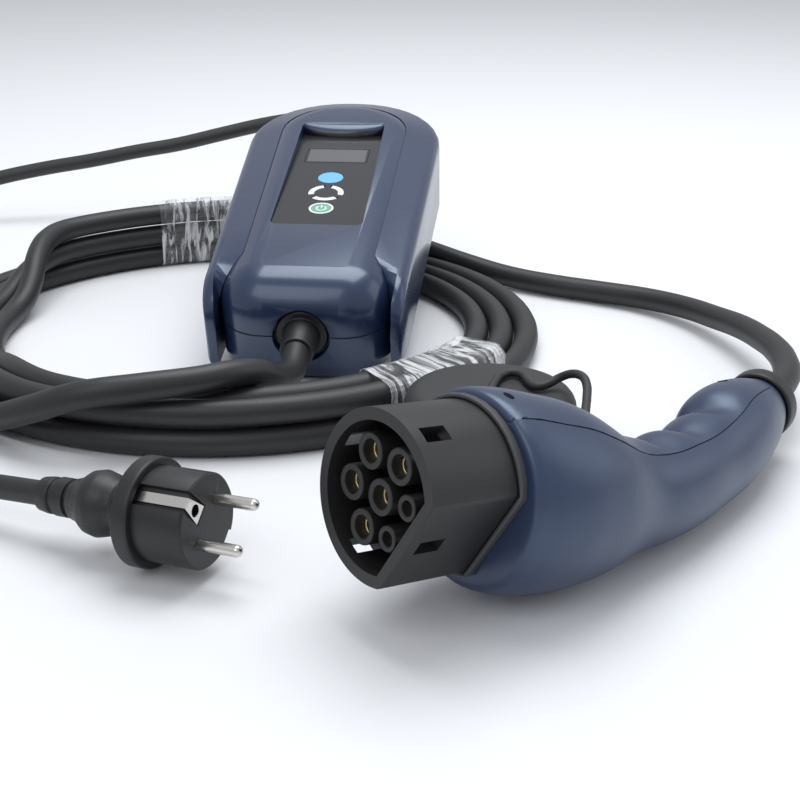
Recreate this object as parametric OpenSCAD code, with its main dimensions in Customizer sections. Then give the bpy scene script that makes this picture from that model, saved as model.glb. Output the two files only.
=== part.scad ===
// Portable charger for electric cars: a control box on a coiled charging cord,
// a seven-pole connector with its cap, and a short mains lead with an earthed plug.
// All sizes are in millimetres. The floor is z = 0.

/* [Control box] */
// Length of the barrel from its front face to its rear
box_l = 245; // [235:1:260]
// Width of the barrel at the front
box_w_front = 92; // [88:1:98]
// Width of the barrel at the rear
box_w_rear = 100; // [96:1:106]
// Height of the barrel at the front
box_h = 58.5; // [56:0.5:62]
// How much higher the barrel's top is at the rear
box_rise = 9; // [6:0.5:10]
// Wall of the two barrel mouldings
box_wall = 2.8; // [2.4:0.1:3.2]
// Radius of the barrel's upright front edges
box_front_r = 26; // [22:1:30]
// Radius of the barrel's upright rear edges
box_rear_r = 47; // [44:1:47]
// Radius along the top edge
box_top_r = 22; // [18:0.5:24]
// Radius along the bottom edge
box_bottom_r = 12; // [9:0.5:14]
// Thickness of the seal between the two mouldings
seal_t = 0.8; // [0.6:0.1:1.2]
// How far the side band stands out from the barrel at the front
band_out_front = 8; // [6:0.5:10]
// How far the side band stands out from the barrel at the rear
band_out_rear = 10.5; // [8:0.5:12]
// Height of the band's lower edge
band_z = 7; // [5:0.5:10]
// How far the band's outer edge lies below the barrel's top
band_drop = 6; // [4:0.5:9]

/* [Display panel] */
// Width of the panel
panel_w = 51; // [46:1:56]
// Length of the panel
panel_l = 132; // [126:1:138]
// Middle of the panel from the front face
panel_y = 134; // [128:1:140]
// Depth of the panel's front edge in the cover
panel_depth = 1; // [0.6:0.1:1.4]
// Thickness of the panel
panel_t = 1.2; // [0.8:0.1:1.6]
// Width of the display window
lcd_w = 37.5; // [32:0.5:42]
// Length of the display window
lcd_l = 21.5; // [18:0.5:24]
// Diameter of the upper indicator
blue_d = 15; // [12:0.5:16]
// Diameter of the lower indicator
green_d = 14; // [12:0.5:16]
// Outer diameter of the ring of three lights
ring_d = 20.5; // [18:0.5:21]
// Width of the ring's lights
ring_w = 3.4; // [2.5:0.1:4.5]

/* [Connector] */
// Diameter of the nose
nose_d = 63.5; // [62:0.5:64]
// Distance of the nose's flat from its axis
nose_flat = 23.4; // [22.5:0.1:24]
// Wall of the nose
nose_wall = 4.5; // [4:0.1:5]
// Length of the nose in front of the handle
nose_l = 41; // [39:0.5:43]
// Length of the locking windows along the nose
window_l = 11; // [8:0.5:12]
// Width of the locking windows
window_w = 6.5; // [5:0.5:8]
// Diameter of the tubes round the power contacts
power_tube_d = 13.4; // [12.6:0.1:13.8]
// Diameter of the tubes round the signal contacts
signal_tube_d = 9.6; // [8.6:0.1:10]
// Bore of the power contacts
power_bore_d = 6; // [5.8:0.1:6.2]
// Bore of the signal contacts
signal_bore_d = 3; // [2.8:0.1:3.2]
// Wall of the contact sleeves
contact_wall = 1.1; // [0.9:0.1:1.3]
// Depth of the contact bores
contact_depth = 24; // [20:1:26]
// Wall of the handle
handle_wall = 3; // [2.4:0.1:3.4]
// Depth of the finger grooves
groove_depth = 3; // [1:0.2:4]
// Length of one finger groove
groove_pitch = 17; // [15:1:18]
// Diameter of the nut at the handle's tail
tail_nut_d = 28; // [26:0.5:29]

/* [Cap] */
// Diameter of the protective cap
cap_d = 79; // [76:0.5:79]
// Height of the cap
cap_h = 34; // [30:0.5:36]
// Wall of the cap
cap_wall = 3.5; // [2.5:0.1:4]
// Diameter of the strap
strap_d = 4; // [3:0.2:4.4]

/* [Mains plug] */
// Diameter of the plug's front
plug_d = 37.8; // [36.5:0.1:38.4]
// Diameter of the plug's finger flange
plug_flange_d = 44; // [42:0.5:46]
// Diameter of the pins
pin_d = 4.8; // [4.7:0.05:4.9]
// Length of the pins in front of the face
pin_l = 19; // [18.5:0.1:19.5]
// Distance between the pins
pin_pitch = 19; // [18.8:0.1:19.2]

/* [Cords] */
// Diameter of the charging cord
ev_d = 13.5; // [12.5:0.1:13.5]
// Diameter of the mains lead
mains_d = 10.4; // [9.4:0.1:10.4]
// Thickness of the clear ties on the coil
tie_t = 0.8; // [0.5:0.1:1]

/* [Hidden] */
$fn = 64;
gap = 0.2;

// Where the pieces lie: the middle of the box round the solid pieces is the origin.
origin_at = [37.989, 657.486];
box_at = [-51, 668, -2.1];
box_heading = 5;
box_tilt = 11.5;
connector_at = [-9, 418, 53.6];
connector_heading = 51.9;
connector_pitch = 9.5;
connector_roll = 61;
plug_at = [-73, 458.4, 24];
plug_heading = 115.3;
plug_pitch = 3.3;
plug_roll = 42;
cap_at = [41, 571];
coil_at = [-93, 737];

module placed() { translate([-origin_at.x, -origin_at.y, 0]) children(); }
module at_box() { placed() translate(box_at) rotate([box_tilt, 0, -box_heading]) children(); }
module at_connector() {
    placed() translate(connector_at) rotate([-connector_pitch, 0, -connector_heading])
        rotate([0, -connector_roll, 0]) children();
}
module at_plug() {
    placed() translate(plug_at) rotate([plug_pitch, 0, -plug_heading]) rotate([0, plug_roll, 0])
        children();
}
module at_coil() { placed() translate([coil_at.x, coil_at.y, 0]) children(); }
// Turns a solid built upwards so that it runs towards +Y.
module along_y() { rotate([-90, 0, 0]) children(); }

// A closed skin over rings of points, capped at both ends. The end of a curved wall, whose ring
// runs out along one face and back along the other, is capped in strips from face to face.
module loft(rings, strips = false) {
    n = len(rings[0]);
    m = len(rings);
    top = (m - 1) * n;
    sides = [for (i = [0:m - 2], j = [0:n - 1])
        let (k = (j + 1) % n) [i * n + k, i * n + j, (i + 1) * n + j, (i + 1) * n + k]];
    first = [for (j = [0:n - 1]) j];
    last = [for (j = [n - 1:-1:0]) top + j];
    wall = [for (j = [0:n / 2 - 2]) [j, j + 1, n - 2 - j, n - 1 - j]];
    wall_end = [for (f = wall) [for (k = [3:-1:0]) top + f[k]]];
    polyhedron([for (r = rings) each r], concat(sides, strips ? concat(wall, wall_end) : [first, last]),
        convexity = 10);
}

// Smooth value at y from a table of rows [y, value, ...].
function slope(table, i, c) =
    let (a = table[max(i - 1, 0)], b = table[min(i + 1, len(table) - 1)])
    (b[c] - a[c]) / (b[0] - a[0]);
function smooth(table, y, c) =
    let (i = max([for (k = [0:len(table) - 2]) if (table[k][0] <= y) k]),
        p = table[i], q = table[i + 1], h = q[0] - p[0], t = (y - p[0]) / h)
    (2 * t^3 - 3 * t^2 + 1) * p[c] + (t^3 - 2 * t^2 + t) * h * slope(table, i, c)
    + (-2 * t^3 + 3 * t^2) * q[c] + (t^3 - t^2) * h * slope(table, i + 1, c);

// A flat plate with round corners.
module rounded_rect(w, l, r) {
    square([w - 2 * r, l], center = true);
    square([w, l - 2 * r], center = true);
    for (x = [-1, 1], y = [-1, 1]) translate([x * (w / 2 - r), y * (l / 2 - r)]) circle(r);
}

// Control box
parting_z = box_h / 2;
corner_steps = 9;
edge_steps = 6;
function arc(c, r, a0, a1, z) =
    [for (k = [0:corner_steps]) let (a = a0 + (a1 - a0) * k / corner_steps)
        [c.x + r * cos(a), c.y + r * sin(a), z]];
// The barrel's outline, set in by an amount, at a height.
function barrel_ring(inset, z) = concat(
    arc([-box_w_front / 2 + box_front_r, box_front_r], box_front_r - inset, 180, 270, z),
    arc([box_w_front / 2 - box_front_r, box_front_r], box_front_r - inset, 270, 360, z),
    arc([box_w_rear / 2 - box_rear_r, box_l - box_rear_r], box_rear_r - inset, 0, 90, z),
    arc([-box_w_rear / 2 + box_rear_r, box_l - box_rear_r], box_rear_r - inset, 90, 180, z));
// Rings up the rounded bottom edge and up to the parting, on the skin set in by t.
function lower_rings(t) = concat(
    [for (k = [0:edge_steps]) let (a = 90 * k / edge_steps, r = box_bottom_r - t)
        barrel_ring(t + r * (1 - sin(a)), t + r * (1 - cos(a)))],
    [barrel_ring(t, parting_z - seal_t / 2)]);
// The same up to the top, which rises to the rear. The inner skin is level.
function risen(y, z) = z + box_rise * y / box_l * (z - parting_z) / (box_h - parting_z);
function upper_rings(t) = concat(
    [barrel_ring(t, parting_z + seal_t / 2)],
    [for (k = [0:edge_steps]) let (a = 90 * k / edge_steps, r = box_top_r - t)
        [for (p = barrel_ring(t + r * (1 - cos(a)), box_h - box_top_r + r * sin(a)))
            [p.x, p.y, t > 0 ? p.z : risen(p.y, p.z)]]]);
function reverse(v) = [for (i = [len(v) - 1:-1:0]) v[i]];

gland_d = 21;
gland_flange_d = 29;
gland_out = 16;
gland_recess_d = 30;
gland_recess = 5;
gland_floor = 3;
gland_boss_d = gland_recess_d + 4;
boss_sunk = 0.1;
rear_gland_d = 17;
rear_gland_flange_d = 25;
rear_gland_out = 18;
post_d = 8;
post_h = 15;
board_w = 66;
board_front = 38;
board_rear = 31;
board_l = box_l - board_front - board_rear;
board_t = 1.6;
board_y = board_front + board_l / 2;
board_z = box_wall + post_h;
board_top = board_z + board_t;
post_x = board_w / 2 - 6;
post_y = board_l / 2 - 8;
screw_d = 3;
module at_posts() {
    for (x = [-1, 1], y = [-1, 1]) translate([x * post_x, board_y + y * post_y, 0]) children();
}
module gland_holes() {
    translate([0, -1, parting_z]) along_y() cylinder(h = gland_recess + gland_floor + 2, d = gland_d + gap);
    translate([0, -1, parting_z]) along_y() cylinder(h = gland_recess + 1, d = gland_recess_d);
    translate([0, box_l + 1, parting_z]) rotate([90, 0, 0])
        cylinder(h = box_wall + 4, d = rear_gland_d + gap);
}
// Half of the cup behind the front wall that the charging cord's gland sits in.
module gland_cup(half) {
    cup_l = gland_recess + gland_floor - box_wall + boss_sunk;
    intersection() {
        translate([0, box_wall - boss_sunk, parting_z]) along_y() cylinder(h = cup_l, d = gland_boss_d);
        translate([-gland_boss_d, 0, parting_z + half * seal_t / 2 - (half < 0 ? gland_boss_d : 0)])
            cube([2 * gland_boss_d, cup_l + box_wall + 1, gland_boss_d]);
    }
}
module box_base() {
    color("midnightblue") at_box() difference() {
        union() {
            loft(concat(lower_rings(0), reverse(lower_rings(box_wall))));
            gland_cup(-1);
            at_posts() translate([0, 0, box_wall - 0.5]) cylinder(h = post_h + 0.5, d = post_d);
        }
        gland_holes();
        at_posts() translate([0, 0, box_wall + 3]) cylinder(h = post_h, d = screw_d);
    }
}
panel_r = 4;
lcd_ledge = 1.5;
panel_z = risen(panel_y - panel_l / 2, box_h) - panel_depth;
lcd_y = panel_y + 30.5;
blue_y = panel_y - 2;
ring_y = panel_y - 23;
green_y = panel_y - 44;
ring_bars = [90, 210, 330];
module box_cover() {
    color("midnightblue") at_box() difference() {
        union() {
            loft(concat(reverse(upper_rings(box_wall)), upper_rings(0)));
            gland_cup(1);
        }
        gland_holes();
        translate([0, panel_y, panel_z - panel_t]) linear_extrude(panel_t + box_rise)
            rounded_rect(panel_w + 2 * gap, panel_l + 2 * gap, panel_r);
        translate([0, lcd_y, box_h - box_wall - 1]) linear_extrude(panel_z - box_h + box_wall + 1)
            square([lcd_w - 2 * lcd_ledge, lcd_l - 2 * lcd_ledge], center = true);
    }
}
module box_seal() {
    color("black") at_box() difference() {
        loft([barrel_ring(0.7, parting_z - seal_t / 2), barrel_ring(0.7, parting_z + seal_t / 2)]);
        loft([barrel_ring(box_wall, parting_z - seal_t), barrel_ring(box_wall, parting_z + seal_t)]);
        gland_holes();
    }
}

// The band round the sides and the rear. Its section is rounded outside and follows the barrel's top
// edge inside. Its two ends stand clear of the barrel's front corners as rounded fins.
band_front_y = 5;
fin_r = 22;
fin_thin = 0.45;
lip_from_y = 14;
lip_full_y = 40;
lip_angle = 60;
lip_steps = 4;
band_section_r = 6;
band_steps = 4;
function wall_x(y) = box_w_front / 2 + (box_w_rear - box_w_front) / 2
    * max(0, y - box_front_r) / (box_l - box_rear_r - box_front_r);
band_rows = [band_front_y, 5.7, 7.2, 9.5, 13, 18, 23, 27, 33, lip_full_y, 70, 110, 155];
band_path = concat(
    [for (y = band_rows) [-wall_x(y), y]],
    [for (p = arc([-box_w_rear / 2 + box_rear_r, box_l - box_rear_r], box_rear_r, 180, 90, 0)) [p.x, p.y]],
    [for (p = arc([box_w_rear / 2 - box_rear_r, box_l - box_rear_r], box_rear_r, 90, 0, 0)) [p.x, p.y]],
    [for (i = [len(band_rows) - 1:-1:0]) let (y = band_rows[i]) [wall_x(y), y]]);
// How far the fin's round front has come down at y.
function fin_fall(y) = let (d = max(0, band_front_y + fin_r - y)) fin_r - sqrt(fin_r^2 - d^2);
function band_out(y) =
    (band_out_front + (band_out_rear - band_out_front) * (y - band_front_y) / (box_l - band_front_y))
    * (1 - fin_thin * fin_fall(y) / fin_r);
function lip(y) = 8 + (lip_angle - 8) * max(0, min(1, (y - lip_from_y) / (lip_full_y - lip_from_y)));
function band_ring(i) =
    let (n = len(band_path), p = band_path[i], a = band_path[max(i - 1, 0)],
        b = band_path[min(i + 1, n - 1)], d = (b - a) / norm(b - a), out = [-d.y, d.x],
        w = band_out(p.y), r = min(band_section_r, w - 0.5), top = box_h - band_drop,
        fall = fin_fall(p.y) / top,
        section = concat([[gap, band_z]],
            [for (k = [0:band_steps]) let (t = 90 * k / band_steps)
                [w - r + r * sin(t), band_z + r * (1 - cos(t))]],
            [for (k = [0:band_steps]) let (t = 90 * k / band_steps)
                [w - r + r * cos(t), top - r * (1 - sin(t))]],
            [for (k = [lip_steps:-1:0]) let (t = lip(p.y) * k / lip_steps)
                [gap * cos(t) - box_top_r * (1 - cos(t)), box_h - box_top_r + (box_top_r + gap) * sin(t)]]))
    [for (q = section) [p.x + out.x * q.x, p.y + out.y * q.x,
        risen(p.y, max(q.y, parting_z)) - max(q.y, parting_z) + q.y - fall * (q.y - band_z)]];
module side_band() {
    color("midnightblue") at_box() difference() {
        loft([for (i = [0:len(band_path) - 1]) band_ring(i)]);
        translate([0, box_l + band_out_rear + 1, parting_z]) rotate([90, 0, 0])
            cylinder(h = band_out_rear + 4, d = rear_gland_flange_d + 2);
    }
}

module display_overlay() {
    color("black") at_box() translate([0, 0, panel_z - panel_t]) difference() {
        translate([0, panel_y, 0]) linear_extrude(panel_t) rounded_rect(panel_w, panel_l, panel_r);
        translate([0, lcd_y, -1]) linear_extrude(panel_t + 2)
            square([lcd_w + 2 * gap, lcd_l + 2 * gap], center = true);
        translate([0, blue_y, -1]) cylinder(h = panel_t + 2, d = blue_d + 2 * gap);
        translate([0, green_y, -1]) cylinder(h = panel_t + 2, d = green_d + 2 * gap);
        translate([0, ring_y, -1]) difference() {
            cylinder(h = panel_t + 2, d = ring_d + 2 * gap);
            translate([0, 0, -1]) cylinder(h = panel_t + 4, d = ring_d - 2 * ring_w - 2 * gap);
            for (a = ring_bars) rotate(a) translate([0, -1.5, -1])
                cube([ring_d, 3, panel_t + 4]);
        }
    }
}
module lcd_window() {
    color("gray") at_box() translate([0, lcd_y, panel_z - panel_t]) linear_extrude(panel_t - 0.2)
        square([lcd_w, lcd_l], center = true);
}
lcd_module_t = 4;
module lcd_module() {
    color("darkgreen") at_box() translate([0, lcd_y, box_h - box_wall - lcd_module_t])
        linear_extrude(lcd_module_t) square([lcd_w + 8, lcd_l + 10], center = true);
}
module blue_lens() {
    color("deepskyblue") at_box() translate([0, blue_y, panel_z - panel_t])
        cylinder(h = panel_t, d = blue_d);
}
module green_lens() {
    color("mediumseagreen") at_box() translate([0, green_y, panel_z - panel_t])
        cylinder(h = panel_t, d = green_d);
}
module ring_lenses() {
    color("white") at_box() translate([0, ring_y, panel_z - panel_t]) for (a = ring_bars)
        rotate(a + 15) rotate_extrude(angle = 90)
            translate([ring_d / 2 - ring_w, 0]) square([ring_w, panel_t]);
}

module circuit_board() {
    color("darkgreen") at_box() translate([0, board_y, board_z]) linear_extrude(board_t)
        difference() {
            square([board_w, board_l], center = true);
            for (x = [-1, 1], y = [-1, 1]) translate([x * post_x, y * post_y]) circle(d = screw_d + gap);
        }
}
module on_board(x, y) { at_box() translate([x, board_y + y, board_top]) children(); }
relay_size = [15.5, 29, 25];
module relays() {
    color("royalblue") for (x = [-1, 1]) on_board(x * 14, 36)
        translate([-relay_size.x / 2, 0, 0]) cube(relay_size);
}
module current_sensor() {
    color("black") on_board(-16, 5) rotate_extrude() translate([6, 0]) square([8, 11]);
}
module transformer() {
    color("goldenrod") on_board(14, -20) union() {
        translate([-13, -13, 0]) cube([26, 26, 8]);
        translate([-9, -16, 8]) cube([18, 32, 12]);
    }
}
module capacitors() {
    color("slategray") for (y = [-34, -20]) on_board(-20, y) cylinder(h = 22, d = 10);
}
module terminal_block() {
    color("seagreen") on_board(-18, -72) difference() {
        cube([36, 13, 15]);
        for (k = [0:3]) translate([4.5 + 9 * k, 6.5, 9]) cylinder(h = 7, d = 5);
    }
}
module board_screws() {
    color("silver") at_box() at_posts() union() {
        translate([0, 0, board_top]) cylinder(h = 2, d = 5.6);
        translate([0, 0, board_top - 10]) cylinder(h = 10, d = screw_d - 0.1);
    }
}
// A moulded strain relief: a flange on the wall, a shank through it and a tapered sleeve.
module gland(shank_d, flange_d, out, cord_d) {
    flange_t = 3;
    shank_in = gland_floor + 8;
    rotate_extrude() polygon([[0, -shank_in], [shank_d / 2, -shank_in], [shank_d / 2, 0],
        [flange_d / 2, 0], [flange_d / 2 - 1, flange_t], [shank_d / 2 - 0.5, flange_t],
        [cord_d / 2 + 2, out], [0, out]]);
}
module gland_nut(shank_d) {
    difference() {
        cylinder(h = 5, d = shank_d + 9, $fn = 6);
        translate([0, 0, -1]) cylinder(h = 7, d = shank_d + gap);
    }
}
module at_front_gland() {
    at_box() translate([0, gland_recess, parting_z]) rotate([90, 0, 0]) children();
}
module at_rear_gland() { at_box() translate([0, box_l, parting_z]) along_y() children(); }
module front_gland() { color("black") at_front_gland() gland(gland_d, gland_flange_d, gland_recess + gland_out, ev_d); }
module rear_gland() {
    color("black") at_rear_gland() gland(rear_gland_d, rear_gland_flange_d, rear_gland_out, mains_d);
}
module front_gland_nut() {
    color("black") at_front_gland() translate([0, 0, -gland_floor - 5 - gap]) gland_nut(gland_d);
}
module rear_gland_nut() {
    color("black") at_rear_gland() translate([0, 0, -box_wall - 6.6]) gland_nut(rear_gland_d);
}

// Connector: its axis runs along +Y from the face of the nose, with the flat below.
module d_shape(r, flat) {
    intersection() {
        circle(r);
        translate([-r, -r]) square([2 * r, r + flat]);
    }
}
seal_w = 2;
seal_l = 4.6;
seal_proud = 3;
rim_l = 4.5;
nose_lip = 1.6;
nose_lip_l = 2.4;
nose_back = nose_l + rim_l - 0.3;
carrier_front = 24;
carrier_back = nose_back - 2;
tube_front = 2.5;
window_y = 4.5;
window_in = 15;
contact_front = 7;
contact_back = contact_front + contact_depth + 2;
row_top = 14.4;
row_low = -12;
pair_x = 8.2;
outer_x = 16;
power_places = [[-pair_x, row_top], [pair_x, row_top], [-outer_x, 0], [outer_x, 0], [0, 0]];
signal_places = [[-pair_x, row_low], [pair_x, row_low]];
module nose_shroud() {
    color("black") at_connector() difference() {
        union() {
            along_y() linear_extrude(nose_back) d_shape(nose_d / 2, nose_flat);
            translate([0, nose_back - nose_lip_l, 0]) along_y() linear_extrude(nose_lip_l)
                d_shape(nose_d / 2 + nose_lip, nose_flat + nose_lip);
        }
        translate([0, -1, 0]) along_y() linear_extrude(nose_back + 2)
            d_shape(nose_d / 2 - nose_wall, nose_flat - nose_wall);
        for (a = [0:90:270]) rotate([0, a, 0]) translate([-window_w / 2, window_y, window_in])
            cube([window_w, window_l, nose_d / 2]);
    }
}
module contact_carrier() {
    color("black") at_connector() difference() {
        union() {
            translate([0, carrier_front, 0]) along_y() linear_extrude(carrier_back - carrier_front)
                d_shape(nose_d / 2 - nose_wall - gap, nose_flat - nose_wall - gap);
            for (p = power_places) translate([p.x, tube_front, p.y]) along_y()
                cylinder(h = carrier_front - tube_front + 1, d = power_tube_d);
            for (p = signal_places) translate([p.x, tube_front, p.y]) along_y()
                cylinder(h = carrier_front - tube_front + 1, d = signal_tube_d);
        }
        for (p = power_places) translate([p.x, 0, p.y]) along_y()
            cylinder(h = contact_back, d = power_bore_d + 2 * contact_wall + gap);
        for (p = signal_places) translate([p.x, 0, p.y]) along_y()
            cylinder(h = contact_back, d = signal_bore_d + 2 * contact_wall + gap);
    }
}
module contact(place, bore_d) {
    color("gold") at_connector() translate([place.x, contact_front, place.y]) along_y() difference() {
        cylinder(h = contact_depth + 2, d = bore_d + 2 * contact_wall);
        translate([0, 0, -1]) cylinder(h = contact_depth + 1, d = bore_d);
    }
}
module contact_l2() { contact(power_places[0], power_bore_d); }
module contact_l3() { contact(power_places[1], power_bore_d); }
module contact_l1() { contact(power_places[2], power_bore_d); }
module contact_n() { contact(power_places[3], power_bore_d); }
module contact_pe() { contact(power_places[4], power_bore_d); }
module contact_pp() { contact(signal_places[0], signal_bore_d); }
module contact_cp() { contact(signal_places[1], signal_bore_d); }
// The outline of the nose's opening in the handle, at the handle's own angles.
function opening_point(a, grow) =
    let (r = min(nose_d / 2 + grow, (nose_flat + grow) / max(0.01, -sin(a)))) [r * cos(a), r * sin(a)];
module nose_seal() {
    color("dimgray") at_connector() translate([0, nose_l - seal_proud, 0]) along_y() linear_extrude(seal_l)
        difference() {
            polygon([for (k = [0:2 * half_steps - 1]) let (p = opening_point(180 * k / half_steps, seal_w))
                [p.x, -p.y]]);
            d_shape(nose_d / 2 + gap / 2, nose_flat + gap / 2);
        }
}

// The handle: rows of distance along the axis, height of the middle and radius.
handle_rows = [[nose_l, -2, 37.3], [50, -4, 38.3], [62, -7.5, 37.8], [76, -10.5, 36.3], [92, -14, 31.5],
    [110, -16, 24], [128, -16, 22], [146, -13, 21.5], [164, -8.5, 20.5], [183, -1.5, 21.5], [200, 6.5, 22],
    [214, 11.5, 20], [225, 15, 17], [232, 17.5, 14.5]];
handle_front = nose_l;
handle_back = handle_rows[len(handle_rows) - 1][0];
half_steps = 18;
groove_start = 121;
groove_end = groove_start + 3 * groove_pitch;
upright_l = 30;
rim_r = 2.5;
rim_ys = [0, 0.25, 0.9, 2.5, rim_l, rim_l + 0.4];
function spread(a, b, n) = [for (i = [1:n]) a + (b - a) * i / n];
handle_ys = concat([for (y = rim_ys) handle_front + y], spread(handle_front + rim_l, groove_start, 13),
    spread(groove_start, groove_end, 24), spread(groove_end, handle_back, 13));
function handle_tilt(y) =
    let (a = max(y - 1, handle_front), b = min(y + 1, handle_back))
    atan((smooth(handle_rows, b, 1) - smooth(handle_rows, a, 1)) / (b - a))
    * min(1, (y - handle_front) / upright_l);
// Three finger grooves with crests between them.
function groove(y) =
    y < groove_start || y > groove_end ? 0
    : groove_depth * abs(sin(180 * (y - groove_start) / groove_pitch));
function rim_round(y) =
    let (d = max(0, handle_front + rim_r - y)) rim_r - sqrt(rim_r^2 - min(d, rim_r)^2);
// A point of the handle's skin at angle a from +X towards +Z, set in by t.
function handle_point(y, a, t) =
    let (b = handle_tilt(y), r = smooth(handle_rows, y, 2) - t - max(0, sin(a))^2 * groove(y))
    [r * cos(a), y - r * sin(a) * sin(b), smooth(handle_rows, y, 1) + r * sin(a) * cos(b)];
function inner_point(y, a) =
    let (p = opening_point(a, seal_w + gap))
    y > handle_front + rim_l ? handle_point(y, a, handle_wall) : [p.x, y, p.y];
function half_ring(y, start) = concat(
    [for (k = [0:half_steps]) handle_point(y, start - 180 * k / half_steps, rim_round(y))],
    [for (k = [half_steps:-1:0]) inner_point(y, start - 180 * k / half_steps)]);
module handle_upper() {
    color("midnightblue") at_connector()
        loft([for (y = handle_ys) half_ring(y, 180)], strips = true);
}
module handle_lower() {
    color("midnightblue") at_connector()
        loft([for (y = handle_ys) half_ring(y, 360)], strips = true);
}
tail_tilt = handle_tilt(handle_back);
tail_z = smooth(handle_rows, handle_back, 1);
tail_r = handle_rows[len(handle_rows) - 1][2];
tail_nut_l = 14;
tail_gland_l = 12;
module at_tail() {
    at_connector() translate([0, handle_back, tail_z]) rotate([tail_tilt, 0, 0]) along_y() children();
}
module tail_gland() {
    color("black") at_tail() translate([0, 0, -tail_gland_l])
        cylinder(h = tail_gland_l + gap, r = tail_r - handle_wall - 0.6);
}
module tail_nut() {
    color("black") at_tail() translate([0, 0, gap]) rotate_extrude() polygon([[0, 0], [tail_nut_d / 2, 0],
        [tail_nut_d / 2, tail_nut_l * 0.6], [tail_nut_d / 2 - 3, tail_nut_l], [0, tail_nut_l]]);
}
clamp_l = 5;
clamp_y = handle_back - tail_gland_l - 9 - clamp_l;
module cord_clamp() {
    color("dimgray") at_connector() translate([0, clamp_y, smooth(handle_rows, clamp_y, 1)])
        rotate([handle_tilt(clamp_y), 0, 0]) along_y() difference() {
            cylinder(h = clamp_l, r = smooth(handle_rows, clamp_y + clamp_l, 2) - handle_wall - 0.8);
            translate([0, 0, -1]) cylinder(h = 7, d = ev_d);
        }
}

// The cap lies closed side up beside the connector.
cap_edge_r = 8;
strap_lug_d = 8;
strap_lug_h = 5;
strap_lug_at = [-2, -19];
module cap() {
    color("dimgray") placed() translate([cap_at.x, cap_at.y, 0]) union() {
        rotate_extrude() polygon(concat([[cap_d / 2 - cap_wall, 0], [cap_d / 2, 0]],
            [for (k = [0:6]) let (a = 90 * k / 6)
                [cap_d / 2 - cap_edge_r * (1 - cos(a)), cap_h - cap_edge_r * (1 - sin(a))]],
            [[0, cap_h], [0, cap_h - cap_wall], [cap_d / 2 - cap_wall, cap_h - cap_wall]]));
        translate([strap_lug_at.x, strap_lug_at.y, cap_h - 0.5]) cylinder(h = strap_lug_h + 0.5, d = strap_lug_d);
    }
}

// Mains plug: the pins point towards +Y from the face at y = 0.
flange_y = -26;
boot_end = -78;
pin_root_l = 12;
pin_root_d = 4.2;
clip_w = 8;
clip_t = 1;
earth_z = 10;
earth_d = 4.8;
earth_plate_in = 5.5;
module plug_body() {
    r = plug_d / 2;
    fr = plug_flange_d / 2;
    color("black") at_plug() difference() {
        along_y() rotate_extrude() polygon([[0, boot_end], [7, boot_end], [7.6, -74], [7.6, -72], [6.6, -71.5],
            [6.6, -70], [8, -69.5], [8, -64], [6.9, -63.5], [6.9, -62], [8.4, -61.5], [9.4, -58],
            [12.8, -53], [13.6, -49], [12.4, -44], [10.2, -40], [10.4, -38], [15, -33], [fr - 1, -30],
            [fr, -29], [fr, flange_y + 0.6], [fr - 0.8, flange_y], [r, flange_y], [r, -1], [r - 1, 0], [0, 0]]);
        for (x = [-1, 1]) translate([x * pin_pitch / 2, -pin_root_l, 0]) along_y()
            cylinder(h = pin_root_l + 1, d = pin_root_d);
        for (z = [-1, 1]) translate([0, 0, z * (r - 1)]) translate([-clip_w / 2 - gap, flange_y + 2, -2])
            cube([clip_w + 2 * gap, 30, 4]);
        translate([-clip_w / 2 - gap, -clip_t - 2 * gap, earth_plate_in - gap])
            cube([clip_w + 2 * gap, clip_t + 1, r - earth_plate_in]);
        translate([0, -pin_l, earth_z]) along_y() cylinder(h = pin_l, d = earth_d + 2 * gap);
    }
}
module plug_pins() {
    color("silver") at_plug() for (x = [-1, 1]) translate([x * pin_pitch / 2, 0, 0]) union() {
        translate([0, -pin_root_l, 0]) along_y() cylinder(h = pin_root_l + 1, d = pin_root_d);
        along_y() cylinder(h = pin_l - pin_d / 2, d = pin_d);
        translate([0, pin_l - pin_d / 2, 0]) sphere(d = pin_d);
    }
}
// Two springs along the sides. One is bent over the face and has the hole for a socket's earth pin.
module earth_clips() {
    color("gold") at_plug() difference() {
        union() {
            for (z = [-1, 1]) translate([-clip_w / 2, flange_y + 2.3, z * (plug_d / 2 - 2) - 1])
                cube([clip_w, -flange_y - 2.6, clip_t + 1]);
            translate([-clip_w / 2, -clip_t - gap - 0.1, earth_plate_in])
                cube([clip_w, clip_t, plug_d / 2 - 2 - earth_plate_in]);
        }
        translate([0, -pin_l, earth_z]) along_y() cylinder(h = pin_l + 1, d = earth_d);
    }
}

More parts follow.
